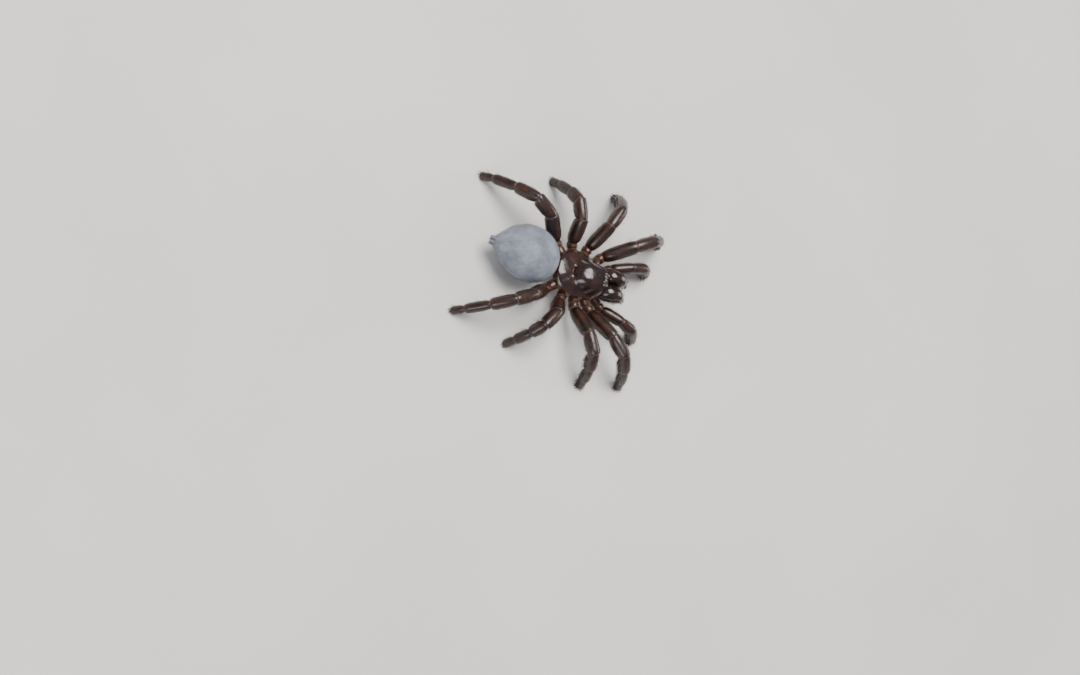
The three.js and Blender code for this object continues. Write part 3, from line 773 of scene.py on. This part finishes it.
# Underside.
def sternum_rings():
    """The plate from its middle to its rim, scalloped where the legs meet it."""
    size = STERNUM
    rings = []
    turn = turns(120)
    narrow = 1 - size["narrow"] * np.cos(turn)
    for share, up in STERNUM_PROFILE:
        scallop = 1 - size["scallop"] * (1 - np.cos(turn * 8)) * (share > 0.6)
        x = size["x"] + size["length"] * share * scallop * np.cos(turn)
        y = size["half"] * share * narrow * scallop * np.sin(turn)
        rings.append(np.stack([x, y, np.full_like(x, size["bottom"] + up)], -1))
    fine = []
    for a, b in zip(rings[:-1], rings[1:]):
        fine += [a * (1 - t) + b * t for t in (0, 0.25, 0.5, 0.75)]
    rings = np.array([*fine, rings[-1]])
    for x, y, radius in STERNUM_SPOTS:
        for side in (1, -1):
            away = np.hypot((rings[..., 0] - x) / 1.5, rings[..., 1] - side * y)
            rings[..., 2] += SPOT_RISE * dent(away, radius)
    return rings


def make_underside():
    plate = sternum_rings()
    add_piece("plate_sternum", tube(plate), UNDER_SHELL, ["sternum"])
    inner = np.zeros(plate.shape[:2])
    inner[:24] = 1
    make_lips()
    add_fur("bristles_sternum", plate, BROWN_HAIR, inner)
    make_pedicel()


def make_lips():
    """The labium below the mouth, and the soft lobe with its bristles above it."""
    centre = (LABIUM["x"] - LABIUM["length"] * 0.5, 0, LABIUM["z"])
    lip = egg_rings(centre, LABIUM["length"] * 1.6, LABIUM["half"], LABIUM["thick"])
    lip = push(lip, uneven(lip, "labium"))
    add_piece("lip_labium", tube(lip), UNDER_SHELL, ["labium"])
    lobe = UPPER_LIP
    lip = egg_rings((lobe["x"], 0, lobe["z"]), lobe["length"], lobe["half"], lobe["thick"])
    lip = push(lip, uneven(lip, "upper_lip") + 0.015 * np.sin(lip[..., 0] * 16))
    soft = {"soft": np.full(lip.shape[:2], 0.2)}
    add_piece("lip_upper", tube(lip), UNDER_SHELL, values=soft)
    below = (normals_of(lip)[..., 2] < 0).astype(float)
    add_fur("bristles_lip", lip, BROWN_HAIR, below)


def make_pedicel():
    """The ringed stalk between the two parts of the body."""
    stalk = []
    count, sides = MESH["pedicel"]
    for x in np.linspace(PEDICEL["from"], PEDICEL["to"], count):
        radius = PEDICEL["radius"] * (1 + PEDICEL["ripple"] * math.sin(x * 14))
        stalk.append(oval((x, 0, PEDICEL["z"]), -AHEAD, radius * PEDICEL["wide"], radius, sides))
    stalk = np.array(stalk)
    soft = {"soft": np.full(stalk.shape[:2], 0.6)}
    add_piece("stalk_pedicel", tube(stalk), UNDER_SHELL, ["pedicel"], soft)


# Abdomen.
def merged(egg, mound, share):
    """The larger of two widths, with a soft hollow where they are alike."""
    near = max(MOUNT["soft"] - abs(egg - mound), 0)
    return max(egg, mound) + share * near * near / (4 * MOUNT["soft"])


def abdomen_section(u):
    """Place, width and height of one section, from 1 in front to -1 behind."""
    size = ABDOMEN
    half, tall = size["half"] - COAT_DEPTH, size["tall"] - COAT_DEPTH
    if u > 0:
        girth = math.sqrt(1 - u * u)
        return (size["x"] + u * (size["front"] - COAT_DEPTH), 0, size["z"]), half * girth, tall * girth
    x = size["x"] + u * (size["x"] - MOUNT["x"] + MOUNT["reach"])
    v = min((size["x"] - x) / (size["back"] - COAT_DEPTH), 1)
    girth = math.sqrt(1 - v * v) ** size["taper"]
    share = math.sqrt(1 - (min(x - MOUNT["x"], 0) / MOUNT["reach"]) ** 2)
    width = merged(half * girth, MOUNT["half"] * share, share)
    height = merged(tall * girth, MOUNT["tall"] * share, share)
    return (x, 0, size["z"] - size["droop"] * v * v), width, height


def from_plates(along, across):
    """Distance from each of the oval plates below, in its own size."""
    aside = (across - BOOK_LUNGS["y"]) / BOOK_LUNGS["wide"]
    return [np.hypot(along - x, aside) / BOOK_LUNGS["size"] for x in BOOK_LUNGS["x"]]


def abdomen_rings():
    size = ABDOMEN
    rings = []
    count, sides = MESH["abdomen"]
    for a in np.linspace(0.02, math.pi - 0.02, count):
        centre, width, height = abdomen_section(math.cos(a))
        rings.append(oval(centre, -AHEAD, width, height, sides))
    rings = np.array(rings)
    tail = ease(size["x"] - rings[..., 0], *TAIL_FOLDS["along"])
    wave = np.sin(rings[..., 0] * TAIL_FOLDS["close"] + 2 * lumps(rings, 2.0, 3.0))
    soft = uneven(rings, "abdomen")
    above = rings[..., 2] > size["z"]
    along, across = rings[..., 0] - size["x"], np.abs(rings[..., 1])
    for x, y, radius in PITS:
        soft -= PIT_DEEP * dent(np.hypot(along - x, across - y), radius) * above
    for away in from_plates(along, across):
        raised = PLATE["rise"] * (1 - ease(away, 0.8, 1.0))
        soft += (raised - PLATE["groove"] * dent(away - 1.08, 0.1)) * ~above
    slit = dent(along - np.mean(BOOK_LUNGS["x"]), SLIT["wide"]) * (1 - ease(across, *SLIT["ends"]))
    return push(rings, soft + TAIL_FOLDS["deep"] * wave * tail - SLIT["deep"] * slit * ~above)


def off_book_lungs(rings):
    """1 where the abdomen has its full coat, and little on the oval plates below."""
    along, across = rings[..., 0] - ABDOMEN["x"], np.abs(rings[..., 1])
    bare = np.zeros(rings.shape[:2])
    for away in from_plates(along, across):
        bare = np.maximum(bare, 1 - ease(away, 0.75, 1.0))
    return 1 - PLATE["bare"] * bare * (rings[..., 2] < ABDOMEN["z"])


def make_abdomen():
    rings = abdomen_rings()
    haired = off_book_lungs(rings)
    add_piece("skin_abdomen", tube(rings), SKIN, ["abdomen"])
    add_fur("coat_abdomen", rings, PALE_HAIR, haired)
    add_fur("setae_abdomen", rings, SOOTY_HAIR, haired)
    for word, side in SIDES.items():
        for row, sizes in SPINNERETS.items():
            add_spinneret(f"{row}_{word}", sizes, side)


def add_spinneret(name, sizes, side):
    """A tapering tube of three segments."""
    way = heading(180 - side * sizes["splay"], sizes["lift"])
    at = np.array([ABDOMEN["x"] - ABDOMEN["back"] + SPINNERET_ROOT, side * sizes["y"], sizes["z"]])
    radius = sizes["radius"]
    stations = [(at, radius)]
    at = at + way * SPINNERET_ROOT * 0.8
    for i, length in enumerate(sizes["lengths"]):
        size = radius * (1 - SPINNERET_NARROWS * i)
        stations += [(at + way * length * t, size * share) for t, share in SEGMENT]
        at = at + way * length
    stations += [(at, radius * 0.42), (at + way * 0.03, radius * 0.25)]
    rings = np.array([oval(p, way, r, r, 24) for p, r in stations])
    add_piece("tube_" + name, tube(rings), SKIN, ["spinneret_" + name])
    outside = np.ones(rings.shape[:2])
    outside[:1] = 0.2
    seed = 2 * list(SPINNERETS).index(name.split("_")[0]) + (side > 0)
    add_fur("coat_spinneret", rings, PALE_HAIR, outside, name, seed)


# Jaws.
def jaw_rings(side):
    count, sides = MESH["jaw"]
    line, along = smooth_line([(x, side * JAW["y"], z) for x, z, _ in JAW_LINE], count)
    last = len(JAW_LINE) - 1
    heights = smooth_line([(h, 0, 0) for _, _, h in JAW_LINE], count)[0][:, 0]
    rings = []
    for k, i in enumerate(np.linspace(0, last, count)):
        width = JAW["half"] * math.sqrt(1 - (i / (last + 0.55)) ** 3.2) * (0.88 + 0.12 * ease(i, 0, 1))
        rings.append(oval(line[k], along[k], width, heights[k], sides, JAW["square"]))
    end, way = rings[-1], along[-1]
    middle = end.mean(axis=0)
    rings = np.array(rings + [middle + (end - middle) * share + way * out for share, out in JAW_END])
    return push(rings, uneven(rings, "jaw"))


def make_jaws():
    for word, side in SIDES.items():
        rings = jaw_rings(side)
        pale = {"pale": ease(5.6 - rings[..., 2], 0, 1.2) * 0.5}
        add_piece("shell_jaw_" + word, tube(rings), SHELL, ["chelicera_" + word], pale)
        add_jaw_bristles(word, side, rings)
        add_rake(word, side, rings)
        add_fang(word, side)


def add_jaw_bristles(word, side, rings):
    """Bristles in two bands along the top, and a fringe over and under the fang."""
    out = normals_of(rings)
    x, z = rings[..., 0], rings[..., 2]
    across = side * (rings[..., 1] - side * JAW["y"])
    bands = sum(dent(across - at, wide) for at, wide in JAW_BANDS)
    top = (out[..., 2] > 0.1) * bands
    fringe = (out[..., 2] < 0.1) * (out[..., 2] > -0.8) * (0.25 + ease(-across, 0.2, 1.0))
    clear = ease(x, 5.6, 6.1) * (1 - 0.75 * ease(x + 0.6 * z, 12.6, 13.3))
    weight = (top + 0.7 * fringe) * clear
    add_fur("bristles_jaw", rings, BROWN_HAIR, weight, word, side)


def add_horn_spikes(name, spikes):
    add_spikes(name, spikes, HORN, 8, (0.0, 0.25, 0.5, 0.75, 0.93), 0.85)


def add_rake(word, side, rings):
    """The rake of stout teeth over the fang, and the small teeth under the jaw."""
    rng = np.random.default_rng(RAKE_SEED + side)
    out = normals_of(rings)
    last, sides = MESH["jaw"][0] - 1, rings.shape[1]
    spikes = []
    for share, count, size in RAKE["rows"]:
        for turn in np.linspace(*RAKE["turns"], count):
            i, j = round(share * last), round((90 - side * turn) / 360 * sides - 0.5)
            way = unit(out[i, j] * 0.5 + [0.7, -side * 0.12, -0.5])
            length = (RAKE["length"] * size + 0.1) * rng.uniform(0.88, 1.05)
            spikes.append((rings[i, j] - way * 0.12, way, (0, 0, -0.15), length, RAKE["radius"] * size))
    teeth = SMALL_TEETH
    way = unit([0.1, side * 0.1, -1])
    for k in range(teeth["count"]):
        root = (teeth["x"] + teeth["step"] * k, side * teeth["y"], teeth["z"] + 0.02 * k)
        spikes.append((root, way, (0, 0, 0), teeth["length"] * rng.uniform(0.8, 1.1), teeth["radius"]))
    add_horn_spikes("rake_" + word, spikes)


def add_fang(word, side):
    count, sides = MESH["fang"]
    line, along = smooth_line([(x, side * FANG["y"], z) for x, z in FANG["line"]], count)
    rings = []
    for k, t in enumerate(np.linspace(0, 1, count)):
        size = FANG["base"] * (1 - 0.96 * t**1.4) * (0.9 + 0.1 * ease(t, 0.0, 0.2))
        rings.append(oval(line[k], along[k], size * 0.92, size * 1.1, sides, 0.92))
    add_piece("horn_fang_" + word, tube(np.array(rings)), HORN, ["fang_" + word])


# Limbs.
def skeleton(name, side):
    """Joint points of one limb, and the way that each segment runs."""
    limb = LIMBS[name]
    lengths, rises = limb["lengths"], limb["rises"]
    femur = rises.index(SOLVED)
    risen = sum(l * math.sin(math.radians(r)) for l, r in zip(lengths, rises) if r is not SOLVED)
    lift = math.degrees(math.asin((FOOT_Z - limb["root"][2] - risen) / lengths[femur]))
    joints = [np.array(limb["root"]) * [1, side, 1]]
    ways = []
    for i, length in enumerate(lengths):
        beyond = limb["out"] + STEP[side][name] + limb["curl"] * (i - femur)
        turn = [limb["coxa"], (limb["coxa"] + limb["out"]) / 2, beyond][min(i, 2)]
        ways.append(heading(side * turn, lift if rises[i] is SOLVED else rises[i]))
        joints.append(joints[-1] + ways[-1] * length)
    return joints, ways


LIMB_SIDES = 36
LIMB_TURNS = turns(LIMB_SIDES, 0.5)
JOINT_STEPS = [0.0, 0.05, 0.09, 0.13, 0.17, 0.22, 0.3, 0.42, 0.58]  # close rings beside a joint
TURN_WITHIN = 1.3  # the rings turn to meet the next segment within this distance
NO_JOINT = 9  # the distance to a joint, at an end that has none


def segment_places(length, first, last):
    """Shares along a segment where it has a ring."""
    edge = np.array(JOINT_STEPS) / length
    middle = np.linspace(0.78, length - 0.78, 10) / length
    places = np.concatenate([edge, middle, (1 - edge)[::-1]])
    return places[0 if first else 1 :]


def girth(t, near, far):
    """Share of a segment's width at a place along it: a slow swell, and a blunt far end."""
    base = near + (far - near) * t
    u = 2 * t - 1
    swell = (1 - abs(u) ** 2.6) ** 0.8 if u < 0 else (1 - u**6) ** 0.6
    return base + (1 - base) * swell


def limb_rings(name, side):
    """The limb's surface, and for each ring its segment, share along it, and distance to a joint."""
    widths = LIMBS[name]["widths"]
    joints, ways = skeleton(name, side)
    end = len(ways) - 1
    rings, about = [], []
    for i, way in enumerate(ways):
        length = LIMBS[name]["lengths"][i]
        near_way = unit(ways[i - 1] + way) - way if i else way * 0
        far_way = unit(way + ways[i + 1]) - way if i < end else way * 0
        near = WAIST * min(widths[max(0, i - 1)], widths[i]) / widths[i]
        far = WAIST * min(widths[i], widths[min(end, i + 1)]) / widths[i] if i < end else TIP
        reach = min(TURN_WITHIN, 0.48 * length)
        for t in segment_places(length, i == 0, i == end):
            before, after = t * length, (1 - t) * length
            along = way + near_way * (1 - ease(before, 0, reach))
            along = unit(along + far_way * (1 - ease(after, 0, reach)))
            share = girth(t, near, far)
            if i < end:
                bead = JOINT_RISE["bead"] * float(dent(after - 0.14, 0.06))
                share += bead - JOINT_RISE["groove"] * float(dent(after, 0.07))
            if i:
                share -= JOINT_RISE["groove"] * float(dent(before, 0.1))
            width = widths[i] * share
            height = width * TALLER / float(along @ way)
            rings.append(oval(joints[i] + way * before, along, width, height, LIMB_SIDES))
            about.append((i, t, before if i else NO_JOINT, after if i < end else NO_JOINT))
    tip = rings[-1].mean(axis=0)
    for share, out in LIMB_END:
        rings.append(tip + (rings[-1] - tip) * share + ways[end] * out)
        about.append((end, 1.0, NO_JOINT, NO_JOINT))
    rings = np.array(rings)
    rings = push(rings, uneven(rings, "limb"))
    rings[..., 2] = np.maximum(rings[..., 2], 0.0)
    return rings, np.array(about)


def bare_stripes(about):
    """Two narrow bands along the top of the thigh, knee and shin that carry no hair."""
    segment, along = about[:, :1], about[:, 1:2]
    stripe = dent(np.abs(LIMB_TURNS - math.pi / 2) - STRIPE["off"], STRIPE["wide"])[None]
    return stripe * ((segment > 1) & (segment < 5)) * ease(along, 0.08, 0.2) * (1 - ease(along, 0.8, 0.92))


def limb_values(about):
    """Where the limb is soft, and where it is paler."""
    below = np.maximum(0, -np.sin(LIMB_TURNS))[None]
    before, after = about[:, 2:3], about[:, 3:4]
    soft_after = 1 - ease(before - 0.24 * below, 0.03, 0.09)
    soft_before = 1 - ease(after - 0.08 * below, 0.02, 0.06)
    pale = 0.4 * (about[:, :1] < 2) + 0.45 * below**2 + 0.3 * bare_stripes(about)
    return {"soft": np.maximum(soft_after, soft_before), "pale": np.clip(pale, 0, 1)}


def make_limb(name, side, word):
    label = {"palp": f"palp_{word}"}.get(name, name.replace("_", f"_{word}_"))
    rings, about = limb_rings(name, side)
    nodes = [f"{label}_{part}" for part in ("femur", "tibia", "tarsus")]
    add_piece("limb_" + label, tube(rings), LIMB_SHELL, nodes, limb_values(about))
    seed = 10 * list(LIMBS).index(name) + (side > 0)
    add_limb_hair(label, rings, about, seed)
    if name == "palp":
        add_cuspules(word, side, rings, about)
    add_horn_spikes("spines_" + label, spines(name, side, seed) + claws(name, side))


def add_limb_hair(label, rings, about, seed):
    """Short hair that is closest on the outer segments, and a few long bristles."""
    firm = ease(np.minimum(about[:, 2], about[:, 3])[:, None], 0.15, 0.3)
    flank = 1 - 0.6 * np.maximum(0, np.sin(LIMB_TURNS))[None] ** 2
    close = np.interp(about[:, :1], range(len(LIMB_COVER)), LIMB_COVER)
    weight = close * firm * flank * (1 - 0.9 * bare_stripes(about))
    for coat in ("hair", "bristles"):
        add_fur(coat, rings, BROWN_HAIR, weight, label, seed)


def add_cuspules(word, side, rings, about):
    """The small dark pegs below the inner corner of the palp's first segment, beside the mouth."""
    out = normals_of(rings)
    inner = ease(-side * out[..., 1], -0.1, 0.4) * ease(-out[..., 2], 0.3, 0.7)
    weight = inner * (about[:, :1] == 0) * ease(about[:, 1:2], 0.25, 0.45) * (about[:, 1:2] < 0.85)
    add_fur("cuspules", rings, HORN, weight, word, side)


def spines(name, side, seed):
    """Digging spines in three rows along both flanks of the outer segments."""
    rng = np.random.default_rng(SPINE_SEED + seed)
    joints, ways = skeleton(name, side)
    spikes = []
    for segment in LIMBS[name]["spiny"]:
        way, start = ways[segment], joints[segment]
        run = joints[segment + 1] - start
        across = unit(np.cross(UP, way))
        lift = np.cross(way, across)
        size = LIMBS[name]["widths"][segment]
        for flank in (-1, 1):
            for row, tilt in enumerate(SPINE["tilts"]):
                count = max(3, round(LIMBS[name]["lengths"][segment] * (2.1 - 0.4 * row)))
                out = across * flank * math.cos(tilt) + lift * math.sin(tilt)
                for t in np.linspace(0.2 + 0.04 * row, 0.88, count):
                    sag = 1 - abs(2 * t - 1) ** 3 * 0.12
                    at = start + run * (t + rng.uniform(-0.02, 0.02))
                    root = at + out * size * 0.9 * sag * (1 + 0.12 * math.sin(tilt) ** 2)
                    lean = unit(out + way * SPINE["lean"] + rng.normal(size=3) * 0.06)
                    length = SPINE["length"] * rng.uniform(0.62, 1.0) * (1 - 0.15 * row)
                    radius = SPINE["radius"] * rng.uniform(0.85, 1.1)
                    spikes.append((root, lean, way * SPINE["bend"], length, radius))
    return spikes


def claws(name, side):
    """Two claws side by side at the tip of a limb, and a small one below them."""
    joints, ways = skeleton(name, side)
    turn = math.degrees(math.atan2(ways[-1][1], ways[-1][0]))
    spikes = []
    for flank, size in ((-1, 1.0), (1, 1.0), (0, THIRD_CLAW["size"])):
        out = heading(turn + flank * CLAW["spread"], 0)
        at = joints[-1] + out * 0.25
        at[2] = CLAW["z"] - THIRD_CLAW["lower"] * (flank == 0)
        bend = UP * CLAW["hook"]
        spikes.append((at, unit(out + UP * 0.25), bend, CLAW["length"] * size, CLAW["radius"] * size))
    return spikes


def add_carapace_bristles():
    """A few upright bristles: along the head's middle, round the eyes, and on the front edge."""
    rng = np.random.default_rng(HEAD_SEED)
    row = MIDDLE_ROW
    along = np.linspace(row["from"], row["to"], row["count"])
    spots = [(x, row["off"] * (-1) ** k) for k, x in enumerate(along)]
    spots += [(x, side * y) for side in (1, -1) for x, y in SIDE_BRISTLES]
    spikes = []
    for x, y in spots:
        way = unit([0.35, 0.1 * y, 1.0] + rng.normal(size=3) * 0.1)
        root = (x, y, head_height(x, y) - 0.05)
        spikes.append((root, way, (0.35, 0, -0.1), rng.uniform(0.5, 0.95), 0.022))
    add_spikes("bristles_carapace", spikes, BROWN_HAIR, 4, (0.0, 0.4, 0.75), 0.6)


# Floor, light and camera.
def make_floor():
    mesh = bpy.data.meshes.new("floor")
    corners = [(x * FLOOR_HALF, y * FLOOR_HALF, 0) for x, y in ((-1, -1), (1, -1), (1, 1), (-1, 1))]
    mesh.from_pydata(corners, [], [(0, 1, 2, 3)])
    mesh.materials.append(floor_finish())
    placed("floor", mesh)


def add_light(name, at, size, power, colour):
    """A square soft light that faces the spider."""
    data = bpy.data.lights.new(name, "AREA")
    data.size = size
    data.energy = power
    data.color = colour
    light = placed(name, data)
    light.location = at
    light.rotation_euler = (-Vector(at)).to_track_quat("-Z", "Y").to_euler()


def make_light():
    world = bpy.data.worlds.new("studio")
    world.use_nodes = True
    for key, value in SKY.items():
        world.node_tree.nodes["Background"].inputs[key].default_value = value
    bpy.context.scene.world = world
    for name, light in LIGHTS.items():
        add_light(name, *light)


def make_camera():
    """Looks down on the spider from behind, turned so that the body lies as in the photograph."""
    down, aside, fall = np.radians([LOOK_DOWN, LOOK_ASIDE, AXIS_FALL])
    back = Vector((-math.cos(down) * math.cos(aside), -math.cos(down) * math.sin(aside), math.sin(down)))
    axis = Vector(AHEAD)
    axis = (axis - back * axis.dot(back)).normalized()
    right = axis * math.cos(fall) + back.cross(axis) * math.sin(fall)
    up = back.cross(right)
    distance = LENS / SENSOR * PHOTO[0] * MM_PER_PIXEL * MM
    body = Vector((ABDOMEN["x"], 0, ABDOMEN["z"])) * MM + Vector(SHIFT)
    offset = (ABDOMEN_PIXEL[0] - PHOTO[0] / 2, PHOTO[1] / 2 - ABDOMEN_PIXEL[1])
    at = body + back * distance - right * offset[0] * MM_PER_PIXEL * MM - up * offset[1] * MM_PER_PIXEL * MM
    data = bpy.data.cameras.new("camera")
    data.lens, data.sensor_width = LENS, SENSOR
    camera = placed("camera", data)
    turn = Matrix((right, up, back)).transposed().to_4x4()
    camera.matrix_world = Matrix.Translation(at) @ turn
    bpy.context.scene.camera = camera


make_camera()
make_floor()
make_light()
make_carapace()
make_eyes()
make_underside()
make_abdomen()
make_jaws()
for word, side in SIDES.items():
    for name in LIMBS:
        make_limb(name, side, word)
add_carapace_bristles()
